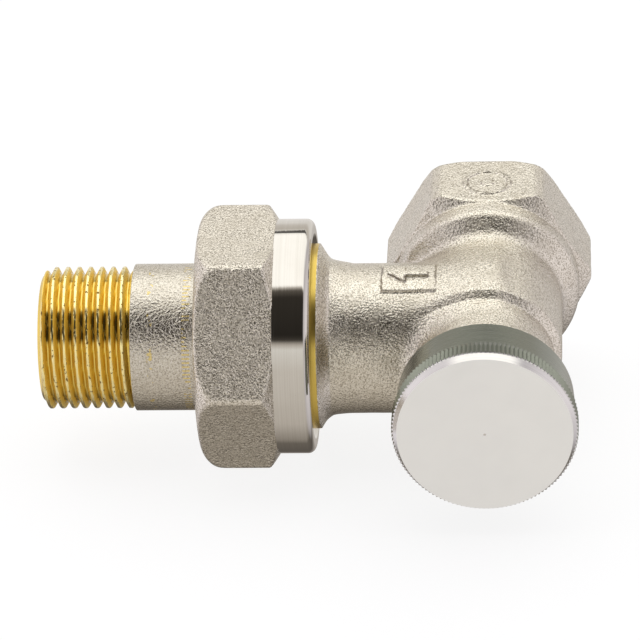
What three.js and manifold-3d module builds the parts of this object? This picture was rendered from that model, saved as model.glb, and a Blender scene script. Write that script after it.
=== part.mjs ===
// Angle-pattern lockshield radiator valve, 3/8 in, with its union nut and tailpiece.
// Millimetres, +Z up. The valve axis is Y: the pipe leaves along +Y and the cap faces -Y.
// The tail axis runs along -X at y = -FACE_TO_TAIL. The origin is the centre of the pipe
// inlet's end face. Male threads are drawn as rings, and female ones as plain bores.

import * as THREE from 'three';
import { mergeVertices } from 'three/addons/utils/BufferGeometryUtils.js';
import Module from 'manifold-3d';

const wasm = await Module();
wasm.setup();

// ---------------------------------------------------------------- driving dimensions

const ROUND = 32; // facets of a large turned shape
const SMALL_ROUND = 24; // facets of a small turned shape

const FACE_TO_TAIL = 22; // inlet end face to the tail axis
const TAIL_LENGTH = 52; // valve axis to the tailpiece's end face

const GAP = 0.3; // between faces that rest on each other
const RUN = 0.15; // radial clearance of a mating thread

// 3/8 in pipe thread, used by the inlet socket and the tailpiece
const PIPE_CREST = 8.331;
const PIPE_ROOT = 7.475;
const PIPE_PITCH = 1.337;

// inlet hexagon and the body turned about the valve axis
const INLET_AF = 22;
const INLET_CORNER = 12.3;
const HEX_LENGTH = 9.7;
const SHOULDER_R = 10.65;
const SHOULDER_END = 12;
const BARREL_R = 8.8;
const BARREL_END = 26.3;
const NECK_R = 7.9;
const NECK_END = 39.6;
const CAP_THREAD_CREST = 7.85;
const CAP_THREAD_ROOT = 7.25;
const CAP_THREAD_PITCH = 1;

// passages in the body
const SEAT_BORE_R = 3.9;
const SEAT_FACE = 15;
const CHAMBER_R = 6.1;
const TAIL_PORT_R = 5.4;

// branch towards the tail, ending in the union thread
const BRANCH_R = 8.8;
const BRANCH_DROP = 0.35; // the forged branch sits a little below the tail axis
const FLANGE_R = 10.85;
const UNION_CREST = 11.4;
const UNION_ROOT = 10.3;
const UNION_PITCH = 1.814;
const UNION_END = 28.3;
const NOSE_SOCKET_R = 8.2;

// bonnet insert and shut-off spindle
const INSERT_R = 6;
const INSERT_FRONT = 40.9;
const SPINDLE_THREAD_R = 3.95;
const SPINDLE_STEM_R = 3.5;
const SPINDLE_FRONT = 38;
const SPINDLE_GROOVES = [34.6, 36];
const SOCKET_AF = 4;
const O_RING_SECTION = 0.375;

// cap
const CAP_REAR = 35.9;
const CAP_FRONT = 43.6;
const CAP_R = 10.3;
const KNURL_R = 10.6;
const KNURL_START = 40.75;
const CAP_WALL_FRONT = 42;

// union nut
const NUT_AF = 27;
const NUT_REAR = 20.1; // collar end, towards the body
const NUT_FRONT = 33.5;
const COLLAR_R = 13.75;
const NUT_TURN = 32; // degrees: one flat faces -Y and this far above the horizontal
const NUT_HOLE_R = 8.85;

// tailpiece
const TAIL_R = 8.62;
const TAIL_BORE_R = 5.5;
const TAIL_HEAD_R = 10.9;
const NOSE_R = 7.9;

// ---------------------------------------------------------------- materials

function metal(color, roughness) {
  return new THREE.MeshStandardMaterial({ color, roughness, metalness: 1 });
}

function rubber(color) {
  return new THREE.MeshStandardMaterial({ color, roughness: 0.8, metalness: 0 });
}

const forgedNickel = metal(0xc4beb2, 0.42);
const turnedNickel = metal(0xd8d2c8, 0.25);
const brass = metal(0xd9b04e, 0.28);
const blackRubber = rubber(0x1c1c1e);
const greyFibre = rubber(0x5a5f5c);

// ---------------------------------------------------------------- geometry helpers

// The geometry as one closed indexed mesh: shared vertices merged, empty triangles dropped.
function closed(geometry) {
  geometry.deleteAttribute('normal');
  geometry.deleteAttribute('uv');
  const merged = mergeVertices(geometry, 1e-4);
  const index = merged.index.array;
  const kept = [];
  for (let i = 0; i < index.length; i += 3) {
    const [a, b, c] = [index[i], index[i + 1], index[i + 2]];
    if (a !== b && b !== c && c !== a) kept.push(a, b, c);
  }
  merged.setIndex(kept);
  return merged;
}

function solid(geometry) {
  const mesh = closed(geometry);
  return new wasm.Manifold(new wasm.Mesh({
    numProp: 3,
    vertProperties: new Float32Array(mesh.attributes.position.array),
    triVerts: new Uint32Array(mesh.index.array),
  }));
}

function geometryOf(manifold) {
  const mesh = manifold.getMesh();
  const geometry = new THREE.BufferGeometry();
  geometry.setAttribute('position', new THREE.BufferAttribute(mesh.vertProperties, 3));
  geometry.setIndex(new THREE.BufferAttribute(mesh.triVerts, 1));
  geometry.computeVertexNormals();
  return geometry;
}

// Revolve a closed outline of [radius, height] points about the Y axis.
function revolve(outline, facets = ROUND) {
  let twiceArea = 0;
  outline.forEach(([r, h], i) => {
    const [nextR, nextH] = outline[(i + 1) % outline.length];
    twiceArea += r * nextH - nextR * h;
  });
  const ordered = twiceArea > 0 ? outline : [...outline].reverse();
  const points = [...ordered, ordered[0]].map(([r, h]) => new THREE.Vector2(r, h));
  return new THREE.LatheGeometry(points, facets);
}

// Points of an arc about [r, h], from one angle to another, in degrees.
function arc(r, h, radius, from, to, steps = 4) {
  const points = [];
  for (let i = 0; i <= steps; i++) {
    const angle = THREE.MathUtils.degToRad(from + ((to - from) * i) / steps);
    points.push([r + radius * Math.cos(angle), h + radius * Math.sin(angle)]);
  }
  return points;
}

// Thread rings along an outline: a crest every pitch, with a V between two crests.
function threadRings(crest, root, pitch, start, count, direction = 1) {
  const points = [[crest, start]];
  for (let i = 1; i < count; i++) {
    const next = start + direction * pitch * i;
    points.push([root, next - (direction * pitch) / 2], [crest, next]);
  }
  return points;
}

// A hexagonal prism about the Y axis, with a flat facing turn degrees round from +Z.
function hexPrism(acrossFlats, from, to, turn) {
  const corner = acrossFlats / Math.sqrt(3);
  const start = THREE.MathUtils.degToRad(turn + 30);
  const prism = new THREE.CylinderGeometry(corner, corner, to - from, 6, 1, false, start);
  return prism.translate(0, (from + to) / 2, 0);
}

function box(sizeX, sizeY, sizeZ, x, y, z) {
  return new THREE.BoxGeometry(sizeX, sizeY, sizeZ).translate(x, y, z);
}

// From the tail's own frame (Y along the tail) to the valve's frame.
function alongTail(geometry) {
  return geometry.rotateZ(Math.PI / 2).translate(0, -FACE_TO_TAIL, 0);
}

function oRing(middleR, height, section = O_RING_SECTION) {
  return revolve(arc(middleR, height, section, 0, 300, 5), SMALL_ROUND);
}

const root = new THREE.Group();
const tail = new THREE.Group(); // Y runs along the tail, away from the valve axis
tail.rotation.z = Math.PI / 2;
tail.position.y = -FACE_TO_TAIL;
root.add(tail);

function place(group, name, geometry, material) {
  const mesh = new THREE.Mesh(geometry, material);
  mesh.name = name;
  group.add(mesh);
}

// ---------------------------------------------------------------- valve body

// Everything turned about the valve axis: shoulder, barrel, and the neck with the cap thread.
function bodyBarrel() {
  const shoulderFillet = 1.9;
  const stepFillet = 1.2;
  const threadStart = -36.1;
  return solid(revolve([
    [0, -5],
    [SHOULDER_R, -5],
    ...arc(SHOULDER_R - 0.6, -SHOULDER_END + 0.6, 0.6, 0, -80, 3),
    ...arc(BARREL_R + shoulderFillet, -SHOULDER_END - shoulderFillet, shoulderFillet, 110, 180, 5),
    ...arc(BARREL_R - 0.6, -BARREL_END + 0.6, 0.6, 0, -80, 3),
    ...arc(NECK_R + stepFillet, -BARREL_END - stepFillet, stepFillet, 135, 180, 3),
    [NECK_R, -34.9],
    [CAP_THREAD_ROOT, -35.5],
    ...threadRings(CAP_THREAD_CREST, CAP_THREAD_ROOT, CAP_THREAD_PITCH, threadStart, 4, -1),
    [CAP_THREAD_ROOT, -NECK_END],
    [0, -NECK_END],
  ]));
}

function inletHex() {
  const prism = solid(hexPrism(INLET_AF, -HEX_LENGTH, 0, 0));
  const chamfers = solid(revolve([
    [0, 0],
    [11.5, 0],
    [INLET_CORNER, -0.8],
    [INLET_CORNER, -8.3],
    [INLET_CORNER - 1.4, -HEX_LENGTH],
    [0, -HEX_LENGTH],
  ]));
  return prism.intersect(chamfers);
}

function branch() {
  const forged = alongTail(revolve([[0, 0], [BRANCH_R, 0], [BRANCH_R, 19], [0, 19]]));
  const turned = alongTail(revolve([
    [0, 17],
    [8.4, 17],
    [8.95, 18.5],
    [FLANGE_R, 19.9],
    [FLANGE_R, 20.9],
    [UNION_ROOT, 21.2],
    ...threadRings(UNION_CREST, UNION_ROOT, UNION_PITCH, 22.1, 4),
    [UNION_ROOT, UNION_END],
    [0, UNION_END],
  ]));
  return solid(forged.translate(0, 0, -BRANCH_DROP)).add(solid(turned));
}

// Raised pads of the forging: a plain plate on the branch and a disc on the top flat.
function forgedPads() {
  const plateHalfAngle = 26;
  const plate = new THREE.Shape();
  const reach = THREE.MathUtils.degToRad(plateHalfAngle);
  plate.absarc(0, 0, BRANCH_R + 0.35, Math.PI / 2 - reach, Math.PI / 2 + reach, false);
  plate.lineTo(0, 5);
  const plateLength = 7.1;
  const extruded = new THREE.ExtrudeGeometry(plate, {
    depth: plateLength, bevelEnabled: false, curveSegments: 8,
  });
  extruded.rotateX(Math.PI / 2).rotateZ(Math.PI / 2);
  extruded.translate(-12.5, -FACE_TO_TAIL, -BRANCH_DROP);
  const disc = new THREE.CylinderGeometry(2.9, 2.9, 1.25, 32);
  disc.rotateX(Math.PI / 2).translate(0, -5.4, INLET_AF / 2 - 0.375);
  return solid(extruded).add(solid(disc));
}

// Pipe socket, seat bore and chamber, cut along the valve axis.
function valveBore() {
  return solid(revolve([
    [0, 1],
    [8.9, 1],
    [8.9, 0],
    [PIPE_ROOT, -1.3],
    [PIPE_ROOT, -9.4],
    [SEAT_BORE_R, -11.5],
    [SEAT_BORE_R, -SEAT_FACE],
    [CHAMBER_R, -SEAT_FACE],
    [CHAMBER_R, -NECK_END - 1],
    [0, -NECK_END - 1],
  ]));
}

function tailPort() {
  return solid(alongTail(revolve([
    [0, 2],
    [TAIL_PORT_R, 2],
    [TAIL_PORT_R, 23],
    [NOSE_SOCKET_R, 25],
    [NOSE_SOCKET_R, UNION_END - 0.4],
    [NOSE_SOCKET_R + 1.2, UNION_END + 0.8],
    [0, UNION_END + 0.8],
  ])));
}

const outside = inletHex().add(bodyBarrel()).add(branch()).add(forgedPads());
const valveBody = outside.subtract(valveBore()).subtract(tailPort());
place(root, 'valve_body', geometryOf(valveBody), forgedNickel);

// ---------------------------------------------------------------- bonnet insert

function bonnetInsert() {
  const flangeR = 7.2;
  const sleeve = solid(revolve([
    [SPINDLE_THREAD_R + RUN, -27.5],
    [INSERT_R - 0.6, -27.5],
    [INSERT_R, -28.1],
    [INSERT_R, -30.6],
    [5.05, -30.6],
    [5.05, -31.8],
    [INSERT_R, -31.8],
    [INSERT_R, -NECK_END - GAP],
    [flangeR, -NECK_END - GAP],
    [flangeR, -INSERT_FRONT],
    [SPINDLE_STEM_R + 0.4, -INSERT_FRONT],
    [SPINDLE_STEM_R + 0.1, -INSERT_FRONT + 0.3],
    [SPINDLE_STEM_R + 0.1, -33.8],
    [SPINDLE_THREAD_R + RUN, -33.8],
  ], SMALL_ROUND));
  const keySlots = solid(box(2 * flangeR + 2, 1.6, 1.8, 0, -INSERT_FRONT, 0));
  return sleeve.subtract(keySlots);
}

place(root, 'bonnet_insert', geometryOf(bonnetInsert()), brass);
place(root, 'insert_o_ring', closed(oRing(5.58, -31.2, 0.46)), blackRubber);

// ---------------------------------------------------------------- spindle

function shutoffSpindle() {
  const outline = [
    [0, -20],
    [1.45, -20],
    [1.45, -16.9],
    [4.4, -16.9],
    [4.7, -17.2],
    [4.7, -18.4],
    [3, -19.6],
    [3, -24],
    [SPINDLE_THREAD_R, -24.9],
    [SPINDLE_THREAD_R, -29.6],
    [SPINDLE_STEM_R, -30],
  ];
  SPINDLE_GROOVES.forEach((middle) => {
    const grooveR = 2.7;
    outline.push([SPINDLE_STEM_R, -middle + 0.5], [grooveR, -middle + 0.5]);
    outline.push([grooveR, -middle - 0.5], [SPINDLE_STEM_R, -middle - 0.5]);
  });
  outline.push([SPINDLE_STEM_R, -SPINDLE_FRONT + 0.4], [SPINDLE_STEM_R - 0.4, -SPINDLE_FRONT]);
  outline.push([0, -SPINDLE_FRONT]);
  const socket = hexPrism(SOCKET_AF, -SPINDLE_FRONT - 1, -SPINDLE_FRONT + 3, 0);
  return solid(revolve(outline, SMALL_ROUND)).subtract(solid(socket));
}

function sealScrew() {
  const head = solid(revolve([
    [0, -19.5],
    [1.15, -19.5],
    [1.15, -SEAT_FACE],
    [2.9, -SEAT_FACE],
    [2.9, -SEAT_FACE + 0.9],
    [2.4, -SEAT_FACE + 1.4],
    [0, -SEAT_FACE + 1.4],
  ], SMALL_ROUND));
  return head.subtract(solid(box(8, 1.4, 0.7, 0, -SEAT_FACE + 1.4, 0)));
}

place(root, 'shutoff_spindle', geometryOf(shutoffSpindle()), brass);
place(root, 'seal_screw', geometryOf(sealScrew()), brass);
place(root, 'seat_seal', closed(revolve([
  [1.5, -SEAT_FACE - GAP],
  [4.5, -SEAT_FACE - GAP],
  [4.7, -SEAT_FACE - GAP - 0.2],
  [4.7, -16.6],
  [1.5, -16.6],
], SMALL_ROUND)), blackRubber);
['spindle_o_ring_inner', 'spindle_o_ring_outer'].forEach((name, i) => {
  place(root, name, closed(oRing(3.165, -SPINDLE_GROOVES[i])), blackRubber);
});

// ---------------------------------------------------------------- cap

function capOutline() {
  const chamfer = 0.6;
  const boreR = CAP_THREAD_CREST + RUN;
  return [
    [0, -CAP_FRONT],
    [KNURL_R - chamfer, -CAP_FRONT],
    [KNURL_R, -CAP_FRONT + chamfer],
    [KNURL_R, -KNURL_START],
    [CAP_R, -KNURL_START],
    [CAP_R, -CAP_REAR - 0.25],
    [CAP_R - 0.25, -CAP_REAR],
    [boreR + 0.5, -CAP_REAR],
    [boreR, -CAP_REAR - 0.5],
    [boreR, -CAP_WALL_FRONT],
    [0, -CAP_WALL_FRONT],
  ];
}

place(root, 'cap', closed(revolve(capOutline())), turnedNickel);
place(root, 'cap_gasket', closed(revolve([
  [4.4, -INSERT_FRONT - GAP],
  [7.7, -INSERT_FRONT - GAP],
  [7.7, -CAP_WALL_FRONT + GAP],
  [4.4, -CAP_WALL_FRONT + GAP],
], SMALL_ROUND)), greyFibre);

// ---------------------------------------------------------------- union nut

function unionNut() {
  const corner = NUT_AF / Math.sqrt(3);
  const domeR = 3;
  const hexStart = 24.2;
  const domed = solid(revolve([
    [0, hexStart],
    [COLLAR_R - 0.1, hexStart],
    [corner, 25.5],
    ...arc(corner - domeR, NUT_FRONT - domeR, domeR, 0, 90, 5),
    [0, NUT_FRONT],
  ]));
  const prism = solid(hexPrism(NUT_AF, hexStart, NUT_FRONT, NUT_TURN - 90));
  const hex = prism.intersect(domed);
  const collar = solid(revolve([
    [0, NUT_REAR],
    ...arc(COLLAR_R - 0.9, NUT_REAR + 0.9, 0.9, -90, 0, 4),
    [COLLAR_R, hexStart + 0.2],
    [0, hexStart + 0.2],
  ]));
  const boreR = UNION_CREST + RUN;
  const bore = solid(revolve([
    [0, NUT_REAR - 1],
    [boreR + 0.5, NUT_REAR - 1],
    [boreR + 0.5, NUT_REAR + 0.2],
    [boreR, NUT_REAR + 0.7],
    [boreR, 31.2],
    [NUT_HOLE_R, 31.2],
    [NUT_HOLE_R, NUT_FRONT - 0.3],
    [NUT_HOLE_R + 1, NUT_FRONT + 0.7],
    [0, NUT_FRONT + 0.7],
  ]));
  return hex.add(collar).subtract(bore);
}

place(tail, 'union_nut', geometryOf(unionNut()), forgedNickel);

// ---------------------------------------------------------------- tailpiece

function tailpiece() {
  const headFace = UNION_END + GAP;
  const headBack = 30.9;
  const noseEnd = 25.3;
  const firstCrest = TAIL_LENGTH - 1.6;
  const turned = solid(revolve([
    [TAIL_BORE_R, noseEnd],
    [6.2, noseEnd],
    [NOSE_R, 26],
    [NOSE_R, 26.3],
    [6.7, 26.3],
    [6.7, 27.8],
    [NOSE_R, 27.8],
    [NOSE_R, headFace],
    [TAIL_HEAD_R, headFace],
    [TAIL_HEAD_R, headBack],
    [TAIL_R, headBack],
    [TAIL_R, 41.2],
    [PIPE_ROOT, 41.7],
    ...threadRings(PIPE_CREST, PIPE_ROOT, PIPE_PITCH, firstCrest, 7, -1).reverse(),
    [PIPE_ROOT, firstCrest + PIPE_PITCH / 2],
    [7.7, TAIL_LENGTH - 0.35],
    [7.35, TAIL_LENGTH],
    [TAIL_BORE_R + 0.4, TAIL_LENGTH],
    [TAIL_BORE_R, TAIL_LENGTH - 0.4],
  ]));
  const lugLength = 6;
  const lugMiddle = TAIL_LENGTH - 8;
  const lugs = [-1, 1].map((side) => (
    solid(box(2.4, lugLength, 1.6, 0, lugMiddle, side * (TAIL_BORE_R - 0.1)))
  ));
  return lugs.reduce((whole, lug) => whole.add(lug), turned);
}

place(tail, 'tailpiece', geometryOf(tailpiece()), forgedNickel);
place(tail, 'union_o_ring', closed(oRing(7.45, 27.05, 0.58)), blackRubber);

export default root;
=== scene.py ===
"""Looks of a 3/8 in lockshield radiator valve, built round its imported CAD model.

Lengths are millimetres in the valve's own frame, and become metres as a mesh is made. The
valve axis is Y, with the cap towards -Y. The tail axis runs towards -X. +Z is up.
"""
import math

import bpy
import numpy as np
from mathutils import Matrix, Vector


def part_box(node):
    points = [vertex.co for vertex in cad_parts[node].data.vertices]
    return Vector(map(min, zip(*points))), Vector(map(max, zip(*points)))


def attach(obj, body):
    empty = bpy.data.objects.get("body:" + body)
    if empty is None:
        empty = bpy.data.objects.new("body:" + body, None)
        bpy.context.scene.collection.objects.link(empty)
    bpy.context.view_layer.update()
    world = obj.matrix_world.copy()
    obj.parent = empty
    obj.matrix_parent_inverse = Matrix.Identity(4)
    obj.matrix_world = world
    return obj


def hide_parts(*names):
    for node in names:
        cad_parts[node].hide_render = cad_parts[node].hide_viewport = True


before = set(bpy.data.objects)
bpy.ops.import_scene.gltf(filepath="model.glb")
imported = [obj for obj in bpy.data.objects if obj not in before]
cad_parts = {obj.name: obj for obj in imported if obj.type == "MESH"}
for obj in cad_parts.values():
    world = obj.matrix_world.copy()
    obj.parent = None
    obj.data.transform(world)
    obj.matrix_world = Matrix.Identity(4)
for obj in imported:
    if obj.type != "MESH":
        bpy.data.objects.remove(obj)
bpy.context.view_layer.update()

MM = 0.001


def node_box(node):
    """Lowest and highest corner of a CAD node, in millimetres."""
    low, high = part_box(node)
    return np.array(low) / MM, np.array(high) / MM


# ---------------------------------------------------------------- sizes, from the frame

TAIL_LOW, TAIL_HIGH = node_box("tailpiece")
NUT_LOW, NUT_HIGH = node_box("union_nut")
CAP_LOW, CAP_HIGH = node_box("cap")
TAIL_Y = (TAIL_LOW[1] + TAIL_HIGH[1]) / 2  # the tail axis
TAIL_END = -TAIL_LOW[0]
NOSE_END = -TAIL_HIGH[0]
NUT_REAR = -NUT_HIGH[0]
NUT_FRONT = -NUT_LOW[0]
CAP_FRONT = CAP_LOW[1]
CAP_REAR = CAP_HIGH[1]
KNURL_R = CAP_HIGH[0]

# 3/8 in pipe thread
PIPE_CREST = 8.331
PIPE_ROOT = 7.475
PIPE_PITCH = 1.337

# body
INLET_AF = 22
INLET_CORNER = 12.3
HEX_LENGTH = 9.7
SHOULDER_R = 10.85
SHOULDER_Y = -11.6
BARREL_R = 8.8
BARREL_Y = -26.2
NECK_R = 7.9
NECK_Y = -39.6
CAP_THREAD_CREST = 7.85
CAP_THREAD_ROOT = 7.25
CAP_THREAD_PITCH = 1
SEAT_BORE_R = 3.9
SEAT_Y = -15
CHAMBER_R = 6.6
TAIL_PORT_R = 5.4
BRANCH_R = 8.8
BRANCH_DROP = 0.35
FLANGE_R = 10.85
UNION_CREST = 11.4
UNION_ROOT = 10.3
UNION_PITCH = 1.814
UNION_END = 28.3
NOSE_SOCKET_R = 8.2

# insert, spindle and cap
INSERT_R = 6
INSERT_Y = -40.9
STEM_R = 3.5
SPINDLE_THREAD_R = 3.95
SPINDLE_Y = -38
SPINDLE_GROOVES = (-34.6, -36)
GROOVE_R = 2.7
SOCKET_AF = 4
SOCKET_R = 2.6  # the round recess that is drawn in to the hexagon
SOCKET_DEPTH = 3
KEY_SLOT = (1.8, 0.8)  # width and depth
CAP_R = 10.3
KNURL_Y = -40.75
KNURL_TEETH = 128
KNURL_DEPTH = 0.22
CAP_WALL_Y = -42

# union nut and tailpiece
NUT_AF = 27.04
COLLAR_R = 13.75
COLLAR_END = 24.4
NUT_TURN = 32  # degrees that one flat looks above the horizontal
NUT_HOLE_R = 8.85
TAIL_R = 8.62
TAIL_BORE_R = 5.5
LUG = (2.4, 6, 1.6)  # width, length and height of each lug in the bore
LUG_AWAY = 8  # from the tail end to a lug's middle
TAIL_HEAD_R = 10.9
NOSE_R = 7.9

SEED = 7
rng = np.random.default_rng(SEED)


# ---------------------------------------------------------------- outlines


def arc(r, h, radius, start, end, steps=12):
    """Points of an arc about (r, h), between two angles in degrees."""
    angles = np.radians(np.linspace(start, end, steps + 1))
    return [(r + radius * math.cos(a), h + radius * math.sin(a)) for a in angles]


def softened(outline, radius=0.08, steps=3):
    """The outline with each corner off the axis rounded, less where an edge is short."""
    count = len(outline)
    points = []
    for i, corner in enumerate(outline):
        corner = np.array(corner, float)
        before = np.array(outline[i - 1], float) - corner
        after = np.array(outline[(i + 1) % count], float) - corner
        long_before, long_after = np.linalg.norm(before), np.linalg.norm(after)
        if corner[0] == 0 or min(long_before, long_after) < 1e-6:
            points.append(tuple(corner))
            continue
        reach = min(radius, 0.4 * long_before, 0.4 * long_after)
        start = corner + before / long_before * reach
        end = corner + after / long_after * reach
        for t in np.linspace(0, 1, steps + 1):
            points.append(tuple((1 - t) ** 2 * start + 2 * t * (1 - t) * corner + t**2 * end))
    return points


def rows(r, start, end, spacing):
    """Evenly spaced points at one radius, for a thread or a knurl to bend."""
    count = max(2, int(abs(end - start) / spacing) + 1)
    return [(r, h) for h in np.linspace(start, end, count)]


def thread_radius(crest, root, pitch, start, end, fade=0.6, offset=0.0):
    """A radius for each height and angle: a right-hand V thread that runs out at both ends."""

    def radius(height, angle):
        phase = ((height - offset) / pitch - angle / (2 * math.pi)) % 1
        ridge = np.clip(1.5 * (1 - np.abs(2 * phase - 1)) - 0.2, 0, 1)
        low, high = min(start, end), max(start, end)
        inside = np.clip((height - low) / fade, 0, 1) * np.clip((high - height) / fade, 0, 1)
        return root + (crest - root) * ridge * inside**0.7

    return radius


# ---------------------------------------------------------------- meshes


def about_valve(across, up, along):
    return np.stack([across, along, up], axis=-1)


def about_tail(across, up, along):
    return np.stack([-along, TAIL_Y + across, up], axis=-1)


def turned(outline, axis, columns=128, bend=None):
    """A closed outline of (radius, height) turned about an axis, as vertices and faces.

    bend(radius, height, angle) gives the radii, or the radii and heights, of the whole grid.
    An outline that starts and ends on the axis closes there in one point each.
    """
    points = np.array(outline, float)
    poles = [i for i in (0, len(points) - 1) if points[i, 0] == 0]
    body = points[[i for i in range(len(points)) if i not in poles]]
    angle = np.arange(columns) * 2 * math.pi / columns
    radius = np.repeat(body[:, :1], columns, axis=1)
    height = np.repeat(body[:, 1:], columns, axis=1)
    if bend is not None:
        bent = bend(radius, height, angle[None, :])
        radius, height = bent if isinstance(bent, tuple) else (bent, height)
    vertices = axis(radius * np.sin(angle), radius * np.cos(angle), height).reshape(-1, 3)
    count = len(body)
    last = count if not poles else count - 1
    i, j = np.meshgrid(np.arange(last), np.arange(columns), indexing="ij")
    i, j = i.ravel(), j.ravel()
    below, beside = (i + 1) % count, (j + 1) % columns
    at = lambda row, column: row * columns + column
    faces = np.stack([at(i, j), at(i, beside), at(below, beside), at(below, j)], axis=1).tolist()
    if poles:
        column = np.arange(columns)
        for pole, row, flip in ((points[0], 0, True), (points[-1], count - 1, False)):
            centre = len(vertices)
            vertices = np.vstack([vertices, axis(np.zeros(1), np.zeros(1), pole[1:])])
            ring = np.stack([at(row, column), at(row, (column + 1) % columns)], axis=1)
            ring = ring[:, ::-1] if flip else ring
            faces += [[int(a), int(b), centre] for a, b in ring]
    return facing_out(vertices, faces)


def facing_out(vertices, faces):
    """The same mesh with its faces turned to face out."""
    fan = np.array([[f[0], f[i], f[i + 1]] for f in faces for i in range(1, len(f) - 1)])
    a, b, c = (vertices[fan[:, i]] for i in range(3))
    volume = np.einsum("ij,ij->", a, np.cross(b, c))
    return vertices, [f[::-1] for f in faces] if volume < 0 else faces


def piece(
    name, mesh_data, body, materials, replaces=None, choose=None, normals=None, crease=32
):
    """Make a piece from vertices and faces, and hang it on its body.

    choose(centres) gives each face's material as an index into materials. Edges that turn by
    more than crease degrees stay sharp, unless the normals are given.
    """
    vertices, faces = mesh_data
    mesh = bpy.data.meshes.new(name)
    mesh.from_pydata((vertices * MM).tolist(), [], faces)
    mesh.polygons.foreach_set("use_smooth", [True] * len(mesh.polygons))
    for material in materials:
        mesh.materials.append(material)
    if choose is not None:
        centres = np.empty(3 * len(mesh.polygons))
        mesh.polygons.foreach_get("center", centres)
        mesh.polygons.foreach_set("material_index", choose(centres.reshape(-1, 3) / MM))
    if normals is None:
        mesh.set_sharp_from_angle(angle=math.radians(crease))
    else:
        mesh.normals_split_custom_set_from_vertices(normals.tolist())
    mesh.update()
    made = bpy.data.objects.new(name, mesh)
    bpy.context.scene.collection.objects.link(made)
    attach(made, body)
    if replaces:
        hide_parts(replaces)
    return made


# ---------------------------------------------------------------- solid fields


def outline_field(outline, step=0.05, margin=1.5):
    """Signed distance to a turned outline, as a function of radius and height."""
    points = np.array(outline, float)
    top = points.max(axis=0) + margin
    base = points[:, 1].min() - margin
    radii = np.arange(0, top[0] + step, step)
    heights = np.arange(base, top[1] + step, step)
    r, h = np.meshgrid(radii, heights, indexing="ij")
    nearest = np.full(r.shape, 1e9)
    inside = np.zeros(r.shape, bool)
    for (r0, h0), (r1, h1) in zip(points, np.roll(points, -1, axis=0)):
        if r0 > 0 or r1 > 0:
            dr, dh = r1 - r0, h1 - h0
            t = np.clip(((r - r0) * dr + (h - h0) * dh) / (dr * dr + dh * dh + 1e-12), 0, 1)
            nearest = np.minimum(nearest, (r - r0 - t * dr) ** 2 + (h - h0 - t * dh) ** 2)
        if h0 != h1:
            crosses = (h0 > h) != (h1 > h)
            inside ^= crosses & (r < r0 + (h - h0) * (r1 - r0) / (h1 - h0))
    table = np.where(inside, -np.sqrt(nearest), np.sqrt(nearest))

    def distance(radius, height):
        u = np.clip(radius / step, 0, len(radii) - 1.001)
        v = np.clip((height - base) / step, 0, len(heights) - 1.001)
        i, j = u.astype(int), v.astype(int)
        a, b = u - i, v - j
        near = table[i, j] * (1 - b) + table[i, j + 1] * b
        far = table[i + 1, j] * (1 - b) + table[i + 1, j + 1] * b
        beyond = np.maximum(radius - radii[-1], 0) + np.abs(height - base - v * step)
        return near * (1 - a) + far * a + beyond

    return distance


def soft_max(a, b, blend):
    """The larger of two distances, with the edge between them rounded over that blend."""
    mix = np.clip(0.5 + 0.5 * (a - b) / blend, 0, 1)
    return a * mix + b * (1 - mix) + blend * mix * (1 - mix)


def soft_min(a, b, blend):
    return -soft_max(-a, -b, blend)


def filleted(sides, radius):
    """The solid inside every side, with a fillet along each edge."""
    over = sum(np.maximum(side + radius, 0) ** 2 for side in sides)
    return np.minimum(np.maximum.reduce(sides), -radius) + np.sqrt(over)


def hexagon_bar(across, up, flats, turn, radius):
    """Distance to a hexagonal bar with rounded edges. One flat faces turn degrees round from up."""
    angles = [math.radians(turn + 60 * k) for k in range(3)]
    sides = [np.abs(across * math.sin(a) + up * math.cos(a)) - flats / 2 + radius for a in angles]
    _, second, first = np.sort(sides, axis=0)
    corner = np.sqrt((first**2 + second**2 - first * second) / 0.75)
    return np.where(second > first / 2, corner, first) - radius


def slope(field, points, reach):
    """The field's gradient at each point."""
    columns = []
    for k in range(3):
        step = np.zeros(3)
        step[k] = reach
        columns.append((field(points + step) - field(points - step)) / (2 * reach))
    return np.stack(columns, axis=1)


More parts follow.
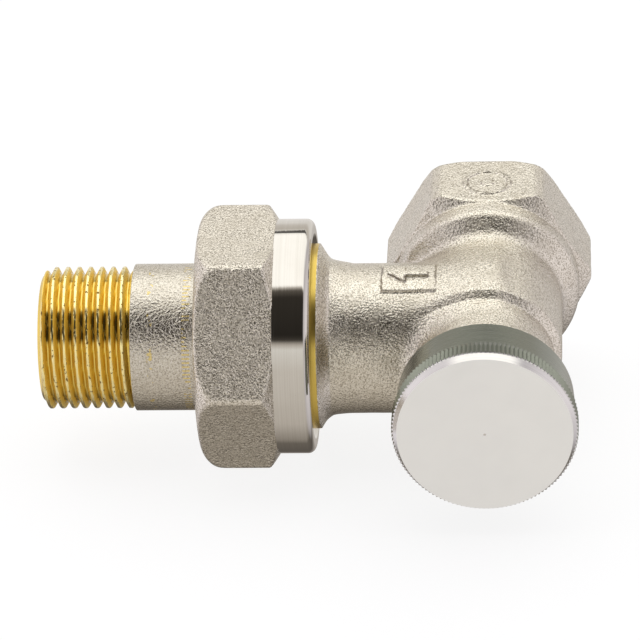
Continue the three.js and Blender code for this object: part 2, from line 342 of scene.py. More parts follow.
def field_mesh(field, low, high, step):
    """Quads on the zero surface of a field in a box, and the normal at each vertex."""
    axes = [np.arange(a, b + step, step) for a, b in zip(low, high)]
    y, z = np.meshgrid(axes[1], axes[2], indexing="ij")
    flat = np.stack([np.zeros(y.size), y.ravel(), z.ravel()], axis=1)
    values = np.empty([len(a) for a in axes])
    for i, x in enumerate(axes[0]):
        flat[:, 0] = x
        values[i] = field(flat).reshape(y.shape)
    inside = values < 0
    cells, places = [], []
    strides = np.array([values.shape[1] * values.shape[2], values.shape[2], 1])
    for k in range(3):
        near = [slice(None)] * 3
        far = [slice(None)] * 3
        near[k], far[k] = slice(None, -1), slice(1, None)
        base = np.argwhere(inside[tuple(near)] != inside[tuple(far)])
        a = values[tuple(near)][tuple(base.T)]
        b = values[tuple(far)][tuple(base.T)]
        place = base.astype(float)
        place[:, k] += a / (a - b)
        one, two = np.eye(3, dtype=int)[(k + 1) % 3], np.eye(3, dtype=int)[(k + 2) % 3]
        turns = ((0, 0), (1, 0), (1, 1), (0, 1))
        around = np.stack([(base - s * one - t * two) @ strides for s, t in turns])
        entering = a > 0
        around[:, entering] = around[::-1, entering]
        cells.append(around.T.reshape(-1))
        places.append(np.repeat(place, 4, axis=0))
    cells, places = np.concatenate(cells), np.concatenate(places)
    _, index = np.unique(cells, return_inverse=True)
    count = np.bincount(index)
    points = np.stack([np.bincount(index, places[:, k]) / count for k in range(3)], axis=1)
    points = points * step + np.array([a[0] for a in axes])
    for _ in range(4):
        gradient = slope(field, points, 0.02)
        size = np.maximum((gradient**2).sum(axis=1), 0.2)
        points -= np.clip(field(points) / size, -step, step)[:, None] * gradient
    normals = slope(field, points, 0.05)
    normals /= np.linalg.norm(normals, axis=1, keepdims=True)
    return facing_out(points, index.reshape(-1, 4).tolist()), normals


# ---------------------------------------------------------------- forged shapes


WAVE_COUNT = 9
WAVE_RATE = 1.4  # spread of the waves' rates, in radians per millimetre
WAVES = rng.normal(size=(WAVE_COUNT, 3)) * WAVE_RATE
WAVE_PHASES = rng.uniform(0, 2 * math.pi, WAVE_COUNT)


def unevenness(points, size):
    """A slow waviness a few millimetres long, as a forging has, from 0 down to -size."""
    total = np.zeros(len(points))
    for direction, phase in zip(WAVES, WAVE_PHASES):
        total += np.sin(points @ direction + phase)
    return size * (total / len(WAVES) - 1) / 2


def step_down(wide, narrow, start, edge, root):
    """From a wide radius to a narrow one down a 45 degree slope, its edge and root rounded."""
    diagonal = math.sqrt(0.5)
    drop = (wide - edge + edge * diagonal) - (narrow + root - root * diagonal)
    end = start - edge * diagonal - drop - root * diagonal
    return arc(wide - edge, start, edge, 0, -45, 8) + arc(narrow + root, end, root, 135, 180, 8)


barrel_distance = outline_field(
    [(0, -4), (SHOULDER_R, -4)]
    + step_down(SHOULDER_R, BARREL_R, SHOULDER_Y, 1.4, 2.2)
    + step_down(BARREL_R, NECK_R, BARREL_Y, 0.4, 0.45)
    + [(NECK_R, -35.05), (0, -35.05)]
)
hex_end_distance = outline_field(
    [(0, 0), (11.4, 0), (INLET_CORNER, -0.8), (INLET_CORNER, -8.3)]
    + [(INLET_CORNER - 1.4, -HEX_LENGTH), (0, -HEX_LENGTH)]
)
forged_branch_distance = outline_field([(0, -1), (BRANCH_R, -1), (BRANCH_R, 18.4), (0, 18.4)])
flange_distance = outline_field(
    [(0, 16.5), (8.2, 16.5), (8.95, 18.2), (FLANGE_R, 19.4), (FLANGE_R, 19.62), (0, 19.62)]
)
valve_bore_distance = outline_field(
    [(0, 2), (9, 2), (9, -0.2), (PIPE_CREST + 0.12, -0.7), (PIPE_CREST + 0.12, -9.3)]
    + [(SEAT_BORE_R, -11.5), (SEAT_BORE_R, SEAT_Y), (CHAMBER_R, SEAT_Y), (CHAMBER_R, -36), (0, -36)]
)
tail_port_distance = outline_field([(0, 2), (TAIL_PORT_R, 2), (TAIL_PORT_R, 22), (0, 22)])

PLATE_MIDDLE = (-9, TAIL_Y - 0.8)
PLATE_HALF = (3.1, 2.5)
BADGE_Y = -5.4
BADGE_R = 2.6
RELIEF = 0.4  # height of the forged marks


def rectangle(u, v, half_u, half_v):
    """Distance to a rectangle in the plane."""
    over_u, over_v = np.abs(u) - half_u, np.abs(v) - half_v
    outside = np.hypot(np.maximum(over_u, 0), np.maximum(over_v, 0))
    return outside + np.minimum(np.maximum(over_u, over_v), 0)


def flow_plate(x, y):
    """Plan of the raised plate on the branch."""
    return rectangle(x - PLATE_MIDDLE[0], y - PLATE_MIDDLE[1], *PLATE_HALF)


def flow_arrow(x, y):
    """Plan of the arrow on the plate, which points to the tail."""
    u, v = x - PLATE_MIDDLE[0], y - PLATE_MIDDLE[1]
    shaft = rectangle(u - 0.9, v, 1.5, 0.5)
    head = np.maximum(np.abs(v) * 0.82 - (u + 2.5) * 0.57, u + 0.3)
    return np.minimum(shaft, head)


def badge_mark(x, y):
    """Plan of the mark on the hexagon: a ring round a dot."""
    radius = np.hypot(x, y - BADGE_Y)
    return np.minimum(np.abs(radius - BADGE_R) - 0.22, radius - 0.8)


def body_field(points):
    x, y, z = points.T
    radius = np.hypot(x, z)
    tail_radius = np.hypot(y - TAIL_Y, z)
    forged_radius = np.hypot(y - TAIL_Y, z + BRANCH_DROP)
    branch = forged_branch_distance(forged_radius, -x)
    plate = filleted([flow_plate(x, y), forged_radius - BRANCH_R - 0.8 * RELIEF], 0.08)
    arrow = filleted([flow_arrow(x, y), forged_radius - BRANCH_R - 1.7 * RELIEF], 0.08)
    mark = np.minimum(plate, arrow)
    branch = soft_min(branch, soft_max(mark, -z, 0.3), 0.12)
    branch = soft_min(branch, flange_distance(tail_radius, -x), 1.2)
    outside = soft_min(barrel_distance(radius, y), branch, 2.6)
    bar = hexagon_bar(x, z, INLET_AF, 0, 0.6)
    hexagon = filleted([bar, hex_end_distance(radius, y)], 0.18)
    badge = filleted([badge_mark(x, y), np.abs(z - INLET_AF / 2) - RELIEF / 2], 0.1)
    hexagon = soft_min(hexagon, badge, 0.2)
    outside = soft_min(outside, hexagon, 0.2) - unevenness(points, 0.05)
    hollow = np.minimum(valve_bore_distance(radius, y), tail_port_distance(tail_radius, -x))
    return soft_max(outside, -hollow, 0.15)


NUT_CORNER = NUT_AF / math.sqrt(3)
NUT_DOME = 3
HEX_START = 24.25
nut_end_distance = outline_field(
    [(0, HEX_START), (COLLAR_R - 0.05, HEX_START), (NUT_CORNER, 25.5)]
    + arc(NUT_CORNER - NUT_DOME, NUT_FRONT - NUT_DOME, NUT_DOME, 0, 90)
    + [(0, NUT_FRONT)]
)
nut_bore_distance = outline_field(
    [(0, HEX_START - 2), (UNION_CREST + 0.3, HEX_START - 2), (UNION_CREST + 0.3, 31.2)]
    + [(NUT_HOLE_R, 31.2), (NUT_HOLE_R, NUT_FRONT - 0.3), (NUT_HOLE_R + 1, NUT_FRONT + 0.7)]
    + [(0, NUT_FRONT + 0.7)]
)


def nut_field(points):
    x, y, z = points.T
    radius = np.hypot(y - TAIL_Y, z)
    bar = hexagon_bar(y - TAIL_Y, z, NUT_AF, NUT_TURN - 90, 0.9)
    ends = nut_end_distance(radius, -x)
    outside = filleted([bar, ends], 0.25) - unevenness(points, 0.03)
    return soft_max(outside, -nut_bore_distance(radius, -x), 0.15)


# ---------------------------------------------------------------- materials


class Graph:
    """A material's node tree, with short ways to add and join nodes."""

    def __init__(self, name, colour, roughness, metallic=1):
        self.material = bpy.data.materials.new(name)
        self.material.use_nodes = True
        self.tree = self.material.node_tree
        self.shader = self.tree.nodes["Principled BSDF"]
        self.shader.inputs["Base Color"].default_value = (*colour, 1)
        self.shader.inputs["Roughness"].default_value = roughness
        self.shader.inputs["Metallic"].default_value = metallic
        self.place = self.add("ShaderNodeTexCoord").outputs["Object"]

    def add(self, kind, **settings):
        made = self.tree.nodes.new(kind)
        for name, value in settings.items():
            setattr(made, name, value)
        return made

    def feed(self, socket, value):
        if isinstance(value, bpy.types.NodeSocket):
            self.tree.links.new(value, socket)
        else:
            socket.default_value = value

    def maths(self, operation, a, b=0.0, c=0.0):
        made = self.add("ShaderNodeMath", operation=operation)
        for socket, value in zip(made.inputs, (a, b, c)):
            self.feed(socket, value)
        return made.outputs[0]

    def noise(self, scale, detail=2.0, roughness=0.5, place=None):
        made = self.add("ShaderNodeTexNoise")
        self.feed(made.inputs["Vector"], place or self.place)
        made.inputs["Scale"].default_value = scale
        made.inputs["Detail"].default_value = detail
        made.inputs["Roughness"].default_value = roughness
        return made.outputs["Fac"]

    def stretched(self, x, y, z):
        made = self.add("ShaderNodeMapping")
        self.feed(made.inputs["Vector"], self.place)
        made.inputs["Scale"].default_value = (x, y, z)
        return made.outputs["Vector"]

    def span(self, value, low, high, to_low, to_high):
        made = self.add("ShaderNodeMapRange")
        self.feed(made.inputs["Value"], value)
        limits = {"From Min": low, "From Max": high, "To Min": to_low, "To Max": to_high}
        for name, number in limits.items():
            self.feed(made.inputs[name], number)
        return made.outputs["Result"]

    def mix(self, share, first, second):
        made = self.add("ShaderNodeMix", data_type="RGBA")
        self.feed(made.inputs["Factor"], share)
        for socket, colour in ((made.inputs[6], first), (made.inputs[7], second)):
            self.feed(socket, (*colour, 1) if isinstance(colour, tuple) else colour)
        return made.outputs[2]

    def bump(self, height, distance, under=None):
        made = self.add("ShaderNodeBump")
        made.inputs["Distance"].default_value = distance
        self.feed(made.inputs["Height"], height)
        if under is not None:
            self.feed(made.inputs["Normal"], under)
        return made.outputs["Normal"]

    def axes(self):
        made = self.add("ShaderNodeSeparateXYZ")
        self.feed(made.inputs[0], self.place)
        return made.outputs

    def finish(self, colour=None, roughness=None, normal=None):
        for name, value in (("Base Color", colour), ("Roughness", roughness), ("Normal", normal)):
            if value is not None:
                self.feed(self.shader.inputs[name], value)
        return self.material


NICKEL = (0.76, 0.71, 0.605)
NICKEL_DARK = (0.34, 0.305, 0.235)
BRASS = (0.8, 0.6, 0.15)
BRASS_DARK = (0.5, 0.33, 0.07)
TICKS = 108  # stamped round the tailpiece
TICK_RING = (34.7, 0.45)  # their distance from the valve axis and half their length
SPECK_RING = (38.9, 0.3)
GRAIN = 4700  # grains of the blasted skin per metre


def forged_nickel(
    name, grain=0.000088, roughness=0.24, scale=GRAIN, light=NICKEL, dark=NICKEL_DARK, ticks=False
):
    """Matt nickel over a shot-blasted forging, dark in its pits, with or without stamped ticks."""
    g = Graph(name, light, roughness)
    fine = g.noise(scale, 2, 0.55)
    pits = g.add("ShaderNodeTexVoronoi", feature="SMOOTH_F1")
    g.feed(pits.inputs["Vector"], g.place)
    pits.inputs["Scale"].default_value = scale * 0.7
    height = g.maths("MULTIPLY_ADD", pits.outputs["Distance"], 0.4, fine)
    slow = g.noise(500, 2)
    coarse = g.maths("MULTIPLY", g.noise(1.35 * scale, 1), 0.75)
    speckle = g.maths("MULTIPLY_ADD", fine, 0.25, coarse)
    colour = g.mix(g.span(speckle, 0.36, 0.54, 0, 1), dark, light)
    tarnish = g.mix(g.span(slow, 0.35, 0.7, 0, 0.15), colour, (0.5, 0.43, 0.31))
    rough = g.span(slow, 0.3, 0.7, roughness - 0.05, roughness + 0.06)
    normal = g.bump(height, grain)
    if ticks:
        x, y, z = g.axes()
        round_tail = g.maths("ARCTAN2", g.maths("SUBTRACT", y, TAIL_Y * MM), z)
        stripe = g.maths("SINE", g.maths("MULTIPLY", round_tail, TICKS))
        ring = g.maths("COMPARE", x, -TICK_RING[0] * MM, TICK_RING[1] * MM)
        worn = g.maths("GREATER_THAN", g.noise(900, 1), 0.47)
        stamped = g.maths("MULTIPLY", g.maths("GREATER_THAN", stripe, 0.35), ring)
        stamped = g.maths("MULTIPLY", stamped, worn)
        speck_ring = g.maths("COMPARE", x, -SPECK_RING[0] * MM, SPECK_RING[1] * MM)
        specks = g.maths("MULTIPLY", speck_ring, g.maths("GREATER_THAN", g.noise(1300, 1), 0.62))
        mask = g.maths("MAXIMUM", stamped, specks)
        tarnish = g.mix(g.maths("MULTIPLY", mask, 0.65), tarnish, BRASS)
        normal = g.bump(g.maths("SUBTRACT", 1.0, mask), 0.00003, normal)
    return g.finish(tarnish, rough, normal)


def turned_metal(name, colour, dark, roughness, lines, across, depth=0.000004):
    """Metal off the lathe: fine lines round the axis that runs along the given direction."""
    g = Graph(name, colour, roughness)
    stretch = [30.0, 30.0, 30.0]
    stretch["xyz".index(across)] = lines
    mark = g.noise(1, 3, 0.7, g.stretched(*stretch))
    slow = g.noise(300, 2)
    tint = g.mix(g.span(mark, 0.35, 0.7, 0, 0.35), colour, dark)
    tint = g.mix(g.span(slow, 0.4, 0.75, 0, 0.2), tint, dark)
    rough = g.span(mark, 0.3, 0.7, roughness * 0.8, roughness * 1.25)
    return g.finish(tint, rough, g.bump(mark, depth))


def nicked_brass_painted_highlight(name):
    """Brass with the small dark nicks that a thread's crest has, on a pale tint that is a painted
    highlight.
    """
    g = Graph(name, BRASS, 0.2)
    nick = g.span(g.noise(2600, 1), 0.62, 0.66, 0, 1)
    # the pale crest colour is a painted highlight; the dark nicks are real marks
    tint = g.mix(nick, (0.95, 0.82, 0.4), (0.26, 0.17, 0.05))
    return g.finish(tint, g.span(nick, 0, 1, 0.18, 0.5), g.bump(nick, -0.00002))


def soft_matter(name, colour, light, roughness, grain):
    """Rubber or fibre."""
    g = Graph(name, colour, roughness, 0)
    fine = g.noise(grain, 4, 0.6)
    tint = g.mix(g.span(fine, 0.35, 0.7, 0, 1), colour, light)
    rough = g.span(fine, 0.3, 0.7, roughness - 0.1, roughness + 0.1)
    return g.finish(tint, rough, g.bump(fine, 0.00001))


forged = forged_nickel("forged_nickel")
forged_nut = forged_nickel(
    "forged_nickel_coarse", 0.000125, 0.27, light=(0.81, 0.755, 0.645), dark=(0.25, 0.22, 0.165)
)
forged_tail = forged_nickel(
    "forged_nickel_tail", 0.0001, 0.2, 4000, (0.68, 0.635, 0.54), (0.41, 0.37, 0.295), ticks=True
)
# the cap's band and knurl are dark copies of its nickel, as painted shade, and its face a
# near-white copy, as painted light
cap_edge = turned_metal("cap_edge", (0.7, 0.68, 0.64), (0.5, 0.48, 0.44), 0.12, 9000, "y")
cap_band_painted_shade = turned_metal("cap_band_painted_shade", (0.22, 0.23, 0.185), (0.14, 0.15, 0.115), 0.24, 9000, "y")
cap_knurl_painted_shade = turned_metal("cap_knurl_painted_shade", (0.24, 0.25, 0.205), (0.15, 0.16, 0.125), 0.22, 9000, "y")
polished_nickel = turned_metal(
    "polished_nickel", (0.64, 0.61, 0.555), (0.5, 0.47, 0.41), 0.03, 5000, "x", 0.00002
)
cap_face_painted_light = turned_metal("cap_face_painted_light", (0.98, 0.99, 0.98), (0.86, 0.87, 0.86), 0.34, 9000, "y")
brass_valve = turned_metal("brass_round_valve", BRASS, BRASS_DARK, 0.16, 9000, "y")
brass_tail = turned_metal("brass_round_tail", BRASS, BRASS_DARK, 0.14, 9000, "x")
brass_union = turned_metal("brass_union", (0.74, 0.55, 0.13), BRASS_DARK, 0.3, 9000, "x")
# the flanks are a brighter brass than the root, as painted light, and the crests paler still, as a
# painted highlight
flank_brass_painted_light = turned_metal("brass_thread_flank_painted_light", (0.9, 0.69, 0.19), BRASS, 0.48, 9000, "x")
crest_brass_painted_highlight = nicked_brass_painted_highlight("brass_thread_crest_painted_highlight")
rubber = soft_matter("black_rubber", (0.012, 0.012, 0.013), (0.03, 0.03, 0.032), 0.55, 2500)
fibre = soft_matter("grey_fibre", (0.1, 0.12, 0.11), (0.17, 0.19, 0.17), 0.85, 3000)

# ---------------------------------------------------------------- the valve

FINE = 0.27  # cell size of the forged meshes
FORGING_X = -20.2  # the body's forging is meshed this far, and its turned pieces go on from there
FORGING_Y = -35.2


def forged_piece(name, field, box, body, cad_node, material):
    mesh_data, normals = field_mesh(field, box[0] - 0.6, box[1] + 0.6, FINE)
    return piece(name, mesh_data, body, [material], cad_node, normals=normals)


BODY_BOX = node_box("valve_body")
body_low, body_high = BODY_BOX[0].copy(), BODY_BOX[1].copy()
body_low[0] = FORGING_X
body_low[1] = FORGING_Y
forged_piece("valve_forging", body_field, (body_low, body_high), "valve", "valve_body", forged)
nut_low, nut_high = NUT_LOW.copy(), NUT_HIGH.copy()
nut_high[0] = -HEX_START + 0.3
nut_box = (nut_low, nut_high)
forged_piece("union_nut_forging", nut_field, nut_box, "union_nut", "union_nut", forged_nut)


def turned_piece(name, outline, axis, body, slot, materials, cad_node=None, **how):
    """A turned part, with its thread or knurl from bend and its finishes from choose."""
    choose, crease = how.pop("choose", None), how.pop("crease", 32)
    mesh_data = turned(outline, axis, **how)
    return piece(name, mesh_data, body, materials, cad_node, choose, crease=crease)


def threaded(plain, *thread):
    """A bend that cuts a thread where the outline has the plain radius."""
    radius = thread_radius(*thread)
    return lambda r, h, a: np.where(r == plain, radius(h, a), r)


# inlet socket thread, union thread and cap thread, as cut in the forging
INLET_THREAD = (-0.7, -9.4)  # where it starts and ends
inlet_thread = (
    softened([(PIPE_CREST + 0.3, -9.6), (PIPE_CREST + 0.3, -0.45), (PIPE_CREST + 0.1, -0.45)])
    + rows(PIPE_CREST, *INLET_THREAD, PIPE_PITCH / 14)
    + [(PIPE_ROOT, -9.6)]
)
turned_piece(
    "inlet_thread", inlet_thread, about_valve, "valve", "bare_brass", [brass_valve], columns=160,
    bend=threaded(PIPE_CREST, PIPE_ROOT, PIPE_CREST, PIPE_PITCH, *INLET_THREAD),
)

UNION_START = 21.4
union_thread = (
    [(TAIL_PORT_R, 19.5), (TAIL_PORT_R, 23), (NOSE_SOCKET_R, 25), (NOSE_SOCKET_R, UNION_END - 0.4)]
    + [(NOSE_SOCKET_R + 0.4, UNION_END)]
    + rows(UNION_ROOT, UNION_END, UNION_START, UNION_PITCH / 14)
    + [(FLANGE_R - 0.2, 20.95), (FLANGE_R, 20.75), (FLANGE_R, 19.5)]
)
turned_piece(
    "union_thread", union_thread, about_tail, "valve", "bare_brass", [brass_union], columns=160,
    bend=threaded(UNION_ROOT, UNION_CREST, UNION_ROOT, UNION_PITCH, UNION_START, UNION_END),
)

CAP_THREAD_START = -35.5
cap_thread = (
    [(CHAMBER_R, -34.9), (NECK_R, -34.9)]
    + rows(CAP_THREAD_ROOT, CAP_THREAD_START, NECK_Y + 0.1, CAP_THREAD_PITCH / 12)
    + [(CAP_THREAD_ROOT - 0.1, NECK_Y), (CHAMBER_R, NECK_Y)]
)
turned_piece(
    "cap_thread", cap_thread, about_valve, "valve", "bare_brass", [brass_valve], columns=128,
    bend=threaded(
        CAP_THREAD_ROOT, CAP_THREAD_CREST, CAP_THREAD_ROOT, CAP_THREAD_PITCH, CAP_THREAD_START,
        NECK_Y,
    ),
)

# polished collar of the union nut
nut_collar = softened(
    [(UNION_CREST + 0.65, NUT_REAR), (COLLAR_R - 0.9, NUT_REAR)]
    + arc(COLLAR_R - 0.9, NUT_REAR + 0.9, 0.9, -80, 0, 8)
    + [(COLLAR_R, COLLAR_END), (UNION_CREST + 0.15, COLLAR_END)]
    + [(UNION_CREST + 0.15, NUT_REAR + 0.7)],
    0.05,
)
turned_piece(
    "union_nut_collar", nut_collar, about_tail, "union_nut", "turned_nickel", [polished_nickel],
    columns=192,
)

# tailpiece: nickel barrel and head, brass thread
HEAD_FACE = UNION_END + 0.3
HEAD_BACK = 30.9
THREAD_START = 41.2
tail_outline = softened(
    [(TAIL_BORE_R, THREAD_START + 0.1), (TAIL_BORE_R, NOSE_END), (6.2, NOSE_END)]
    + [(NOSE_R, 26), (NOSE_R, 26.3), (6.7, 26.3), (6.7, 27.8), (NOSE_R, 27.8)]
    + [(NOSE_R, HEAD_FACE), (TAIL_HEAD_R, HEAD_FACE)]
    + [(TAIL_HEAD_R, HEAD_BACK), (TAIL_R, HEAD_BACK), (TAIL_R, THREAD_START - 0.05)]
    + [(PIPE_ROOT - 0.2, THREAD_START + 0.15)]
)
turned_piece(
    "tailpiece_barrel", tail_outline, about_tail, "tailpiece", "forged_nickel", [forged_tail],
    "tailpiece",
)
tail_thread = (
    [(TAIL_BORE_R, THREAD_START + 0.1), (TAIL_BORE_R, TAIL_END - 0.4)]
    + [(TAIL_BORE_R + 0.4, TAIL_END), (7.3, TAIL_END), (PIPE_ROOT, TAIL_END - 0.2)]
    + rows(PIPE_ROOT, TAIL_END - 0.25, THREAD_START + 0.1, PIPE_PITCH / 18)
)


def thread_finish(centres):
    """0 for the tailpiece thread's root and the bore, 1 for its flanks, brightened as painted
    light, and 2 for its crests, pale as a painted highlight.
    """
    radius = np.hypot(centres[:, 1] - TAIL_Y, centres[:, 2])
    return (radius > PIPE_ROOT + 0.22).astype(int) + (radius > PIPE_CREST - 0.1)


THREAD_FADE = 0.35  # length over which the tailpiece thread runs out
THREAD_OFFSET = 0.25
turned_piece(
    "tailpiece_thread", tail_thread, about_tail, "tailpiece", "bare_brass",
    [brass_tail, flank_brass_painted_light, crest_brass_painted_highlight], columns=192, choose=thread_finish,
    bend=threaded(
        PIPE_ROOT, PIPE_CREST, PIPE_ROOT, PIPE_PITCH, THREAD_START, TAIL_END - 0.2, THREAD_FADE,
        THREAD_OFFSET,
    ),
)

# two lugs in the tailpiece bore, for the key that turns it
for side, name in ((1, "upper"), (-1, "lower")):
    middle = np.array([LUG_AWAY - TAIL_END, TAIL_Y, side * (TAIL_BORE_R - 0.1)])
    half = np.array([LUG[1], LUG[0], LUG[2]]) / 2

    def lug_field(points, middle=middle, half=half):
        return filleted(list((np.abs(points - middle) - half).T), 0.2)

    lug_mesh, lug_normals = field_mesh(lug_field, middle - half - 0.5, middle + half + 0.5, 0.15)
    piece(name + "_lug", lug_mesh, "tailpiece", [brass_tail], normals=lug_normals)

# cap
KNURL_ROOT = KNURL_R - KNURL_DEPTH
KNURL_FRONT = CAP_FRONT + 0.76
cap_outline = (
    [(0, CAP_FRONT + 0.06), (0.16, CAP_FRONT)]
    + [(r, CAP_FRONT) for r in (0.4, 3, 6, 9)]
    + [(KNURL_ROOT - 0.4, CAP_FRONT), (KNURL_ROOT, KNURL_FRONT)]
    + [(KNURL_R, KNURL_FRONT + 0.1)]
    + rows(KNURL_R, KNURL_FRONT + 0.2, KNURL_Y, 0.4)
    + [(CAP_R + 0.1, KNURL_Y + 0.12), (CAP_R - 0.2, CAP_REAR - 0.25), (CAP_R - 0.4, CAP_REAR)]
    + [(8.5, CAP_REAR), (8, CAP_REAR - 0.5), (8, CAP_WALL_Y), (0, CAP_WALL_Y)]
)


def knurled(r, h, a):
    tooth = np.abs(2 * ((a * KNURL_TEETH / (2 * math.pi)) % 1) - 1)
    depth = KNURL_DEPTH * np.clip(1.25 * tooth - 0.12, 0, 1)
    return r - depth * (r > KNURL_ROOT + 0.05) * (h < KNURL_Y + 0.05)


def cap_finish(centres):
    """0 for the plain band and 1 for the knurl, both dark as painted shade, 2 for the bevel and 3
    for the face, near white as painted light.
    """
    edges = (KNURL_Y, KNURL_FRONT + 0.12, CAP_FRONT + 0.01)
    return sum((centres[:, 1] < edge).astype(int) for edge in edges)


turned_piece(
    "lockshield_cap", cap_outline, about_valve, "cap", "turned_nickel",
    [cap_band_painted_shade, cap_knurl_painted_shade, cap_edge, cap_face_painted_light], "cap",
    columns=KNURL_TEETH * 4, bend=knurled, crease=20,
    choose=cap_finish,
)

# ---------------------------------------------------------------- insert, spindle, seals

insert_outline = softened(
    [(SPINDLE_THREAD_R + 0.15, -27.5), (INSERT_R - 0.6, -27.5), (INSERT_R, -28.1)]
    + [(INSERT_R, -30.6), (5.05, -30.6), (5.05, -31.8), (INSERT_R, -31.8)]
    + [(INSERT_R, -39.9), (7.2, -39.9)]
    + [(7.2, INSERT_Y), (STEM_R + 0.4, INSERT_Y), (STEM_R + 0.1, INSERT_Y + 0.3)]
    + [(STEM_R + 0.1, -33.8), (SPINDLE_THREAD_R + 0.15, -33.8)]
)


def key_slots(r, h, a):
    """Sinks the front face along two slots, one each side of the stem."""
    across = np.abs(r * np.cos(a)) < KEY_SLOT[0] / 2
    front = (h < INSERT_Y + 0.35) & (r > STEM_R + 0.15)
    return r, np.where(across & front, h + KEY_SLOT[1], h)


turned_piece(
    "bonnet_insert_turned", insert_outline, about_valve, "valve", "bare_brass", [brass_valve],
    "bonnet_insert", columns=256, bend=key_slots,
)

spindle_outline = [(0, -16.9), (4.4, -16.9), (4.7, -17.2), (4.7, -18.4), (3, -19.6), (3, -24)]
spindle_outline += [(SPINDLE_THREAD_R, -24.9), (SPINDLE_THREAD_R, -29.6), (STEM_R, -30)]
for middle in SPINDLE_GROOVES:
    spindle_outline += [(STEM_R, middle + 0.5), (GROOVE_R, middle + 0.5)]
    spindle_outline += [(GROOVE_R, middle - 0.5), (STEM_R, middle - 0.5)]
spindle_outline += [(STEM_R, SPINDLE_Y + 0.4), (STEM_R - 0.4, SPINDLE_Y), (SOCKET_R, SPINDLE_Y)]
spindle_outline += [(SOCKET_R, SPINDLE_Y + SOCKET_DEPTH), (0, SPINDLE_Y + SOCKET_DEPTH)]


def hex_socket(r, h, a):
    """Draws the round recess in to a hexagon."""
    flat = SOCKET_AF / 2 / np.cos((a % (math.pi / 3)) - math.pi / 6)
    return np.where(np.isclose(r, SOCKET_R), flat, r)


turned_piece(
    "spindle_turned", spindle_outline, about_valve, "spindle", "bare_brass", [brass_valve],
    "shutoff_spindle", columns=96, bend=hex_socket,
)
screw_outline = softened(
    [(0, -16.8), (1.15, -16.8), (1.15, -15.05), (2.9, -15), (2.9, -14.1)]
    + [(2.4, -13.6), (0, -13.6)],
    0.15,
)
turned_piece(
    "seal_screw_turned", screw_outline, about_valve, "spindle", "bare_brass", [brass_valve],
    "seal_screw",
)
seal_outline = softened([(1.5, -15.3), (4.5, -15.3), (4.7, -15.5), (4.7, -16.6), (1.5, -16.6)], 0.2)
turned_piece(
    "seat_seal_moulded", seal_outline, about_valve, "spindle_carrier", "seal_rubber", [rubber],
    "seat_seal",
)
gasket_outline = softened([(4.4, -41.2), (7.7, -41.2), (7.7, -41.7), (4.4, -41.7)], 0.1)
turned_piece(
    "cap_gasket_disc", gasket_outline, about_valve, "cap_carrier", "gasket_fibre", [fibre],
    "cap_gasket",
)
for name, radius, height, section, axis, body in (
    ("insert_o_ring", 5.58, -31.2, 0.46, about_valve, "valve"),
    ("spindle_o_ring_inner", 3.165, -34.6, 0.375, about_valve, "spindle_carrier"),
    ("spindle_o_ring_outer", 3.165, -36, 0.375, about_valve, "spindle_carrier"),
    ("union_o_ring", 7.45, 27.05, 0.58, about_tail, "union_carrier"),
):
    ring = arc(radius, height, section, 0, 345, 23)
    turned_piece(name + "_moulded", ring, axis, body, "seal_rubber", [rubber], name, columns=96)

# ---------------------------------------------------------------- floor, light and camera

FLOOR_Z = NUT_LOW[2] - 0.02
SIDE = 4  # metres, from the middle to each edge of the floor
PAPER_GLOW = 0.85

floor_mesh = bpy.data.meshes.new("floor")
corners = [(-SIDE, -SIDE, 0), (SIDE, -SIDE, 0), (SIDE, SIDE, 0), (-SIDE, SIDE, 0)]
floor_mesh.from_pydata(corners, [], [(0, 1, 2, 3)])
floor = bpy.data.objects.new("floor", floor_mesh)
floor.location.z = FLOOR_Z * MM
bpy.context.scene.collection.objects.link(floor)
paper = Graph("paper", (0.16, 0.16, 0.16), 0.9, 0)
paper.shader.inputs["Emission Color"].default_value = (1, 1, 1, 1)
paper.shader.inputs["Emission Strength"].default_value = PAPER_GLOW
paper_tint = paper.mix(paper.noise(30), (0.155, 0.155, 0.155), (0.165, 0.165, 0.165))
floor_mesh.materials.append(paper.finish(paper_tint))
floor.visible_glossy = False
floor.visible_diffuse = False

world = bpy.data.worlds.new("studio")
bpy.context.scene.world = world
world.use_nodes = True
tree = world.node_tree
background = tree.nodes["Background"]
place = tree.nodes.new("ShaderNodeTexCoord")
split = tree.nodes.new("ShaderNodeSeparateXYZ")
tree.links.new(place.outputs["Generated"], split.inputs[0])


def world_maths(operation, a, b=0.0):
    made = tree.nodes.new("ShaderNodeMath")
    made.operation = operation
    for socket, value in zip(made.inputs, (a, b)):
        if isinstance(value, bpy.types.NodeSocket):
            tree.links.new(value, socket)
        else:
            socket.default_value = value
    return made.outputs[0]


# angle in the plane across the tail axis: 0 at the front horizon, 90 overhead, 180 behind
lean = world_maths("ARCTAN2", split.outputs["Z"], world_maths("MULTIPLY", split.outputs["Y"], -1.0))
turn = world_maths("MULTIPLY", world_maths("ADD", lean, math.pi), 1 / (2 * math.pi))
ramp = tree.nodes.new("ShaderNodeValToRGB")
tree.links.new(turn, ramp.inputs["Fac"])
# brightness at each such angle, in degrees
STOPS = (
    (-180, 0.93), (-160, 0.88), (-148, 0.5), (-128, 0.12), (-100, 0.19), (-92, 0.36), (-65, 0.66),
    (-34, 0.75), (-4, 0.8), (18, 0.98), (23, 0.62), (27, 0.07), (32, 0.03), (70, 0.045),
    (77, 0.14), (80, 0.7), (82, 1.6), (149, 1.6), (163, 0.7), (172, 0.77), (180, 0.93),
)
STRIP_TURN = 336 / 360  # where the dark strip lies
STRIP_SHARPNESS = 300
STRIP_WIDTH = 3.4
STRIP_NARROWING = 6.0  # how fast it narrows to either side
STRIP_DARKNESS = 0.88
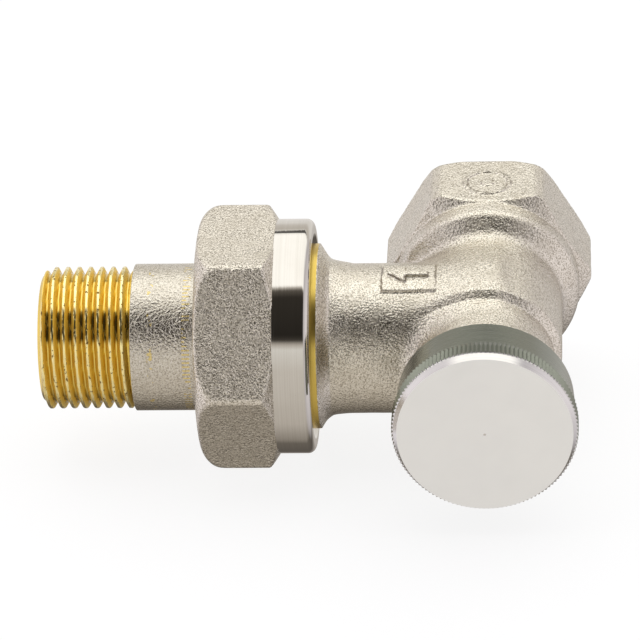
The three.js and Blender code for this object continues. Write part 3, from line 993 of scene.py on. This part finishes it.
# brightness against the sine of the angle to either side
WALL_STOPS = (
    (-1, 1.15), (-0.85, 1.0), (-0.45, 0.93), (0.4, 0.8), (0.62, 0.68), (0.85, 0.92), (1, 1.1)
)
WALL_TINT = (1, 0.965, 1.03)
# the side walls take over from the ramp between these sines
WALL_START = 0.4
WALL_FULL = 0.66


def fill_ramp(made, stops):
    while len(made.color_ramp.elements) < len(stops):
        made.color_ramp.elements.new(0.5)
    for element, (position, colour) in zip(made.color_ramp.elements, stops):
        element.position = position
        element.color = (*colour, 1)


def warmer(level):
    """A grey that is a little warmer the darker it is."""
    warmth = 0.23 * max(0, 1 - level) ** 0.6
    return level, level * (1 - warmth / 2), level * (1 - warmth)


fill_ramp(ramp, [((angle + 180) / 360, warmer(level)) for angle, level in STOPS])
sideways = tree.nodes.new("ShaderNodeMapRange")
sideways.interpolation_type = "SMOOTHSTEP"
sideways.inputs["From Min"].default_value = WALL_START
sideways.inputs["From Max"].default_value = WALL_FULL
aside = world_maths("ABSOLUTE", split.outputs["X"])
tree.links.new(aside, sideways.inputs["Value"])

# a dark strip high behind, between the lamp and the back wall
from_strip = world_maths("ABSOLUTE", world_maths("SUBTRACT", turn, STRIP_TURN))
off_strip = world_maths("MULTIPLY", from_strip, STRIP_SHARPNESS)
off_strip = world_maths("ADD", off_strip, world_maths("MULTIPLY", aside, STRIP_NARROWING))
strip = world_maths("SUBTRACT", STRIP_WIDTH, off_strip)
strip.node.use_clamp = True
shade = world_maths("SUBTRACT", 1.0, world_maths("MULTIPLY", strip, STRIP_DARKNESS))
shaded = tree.nodes.new("ShaderNodeVectorMath")
shaded.operation = "SCALE"
tree.links.new(ramp.outputs["Color"], shaded.inputs[0])
tree.links.new(shade, shaded.inputs["Scale"])
walls = tree.nodes.new("ShaderNodeMix")
walls.data_type = "RGBA"
tree.links.new(sideways.outputs["Result"], walls.inputs["Factor"])
tree.links.new(shaded.outputs[0], walls.inputs[6])
wall_ramp = tree.nodes.new("ShaderNodeValToRGB")
half_along = world_maths("MULTIPLY", world_maths("ADD", split.outputs["X"], 1.0), 0.5)
tree.links.new(half_along, wall_ramp.inputs["Fac"])
fill_ramp(wall_ramp, [((x + 1) / 2, [level * t for t in WALL_TINT]) for x, level in WALL_STOPS])
tree.links.new(wall_ramp.outputs["Color"], walls.inputs[7])
tree.links.new(walls.outputs[2], background.inputs["Color"])
background.inputs["Strength"].default_value = 1.0

CAMERA_TURN = math.radians(-3.9)
CAMERA_RISE = math.radians(31.25)
CAMERA_ROLL = math.radians(-2.45)
CAMERA_AWAY = 500
FOCAL_LENGTH = 240.4
AIM = Vector((-19.5, TAIL_Y, 2.17))
ahead = math.cos(CAMERA_RISE)
forward = Vector((
    math.sin(CAMERA_TURN) * ahead, math.cos(CAMERA_TURN) * ahead, -math.sin(CAMERA_RISE),
))
right = Vector((math.cos(CAMERA_TURN), -math.sin(CAMERA_TURN), 0))
up = right.cross(forward)
rolled_right = math.cos(CAMERA_ROLL) * right + math.sin(CAMERA_ROLL) * up
rolled_up = math.cos(CAMERA_ROLL) * up - math.sin(CAMERA_ROLL) * right
lens = bpy.data.cameras.new("camera")
lens.lens = FOCAL_LENGTH
lens.sensor_width = 36
lens.clip_start = 0.01
lens.clip_end = 10
camera = bpy.data.objects.new("camera", lens)
bpy.context.scene.collection.objects.link(camera)
camera.matrix_world = Matrix.Translation((AIM - CAMERA_AWAY * forward) * MM) @ Matrix(
    (rolled_right, rolled_up, -forward)
).transposed().to_4x4()
bpy.context.scene.camera = camera
bpy.context.scene.view_settings.view_transform = "Standard"
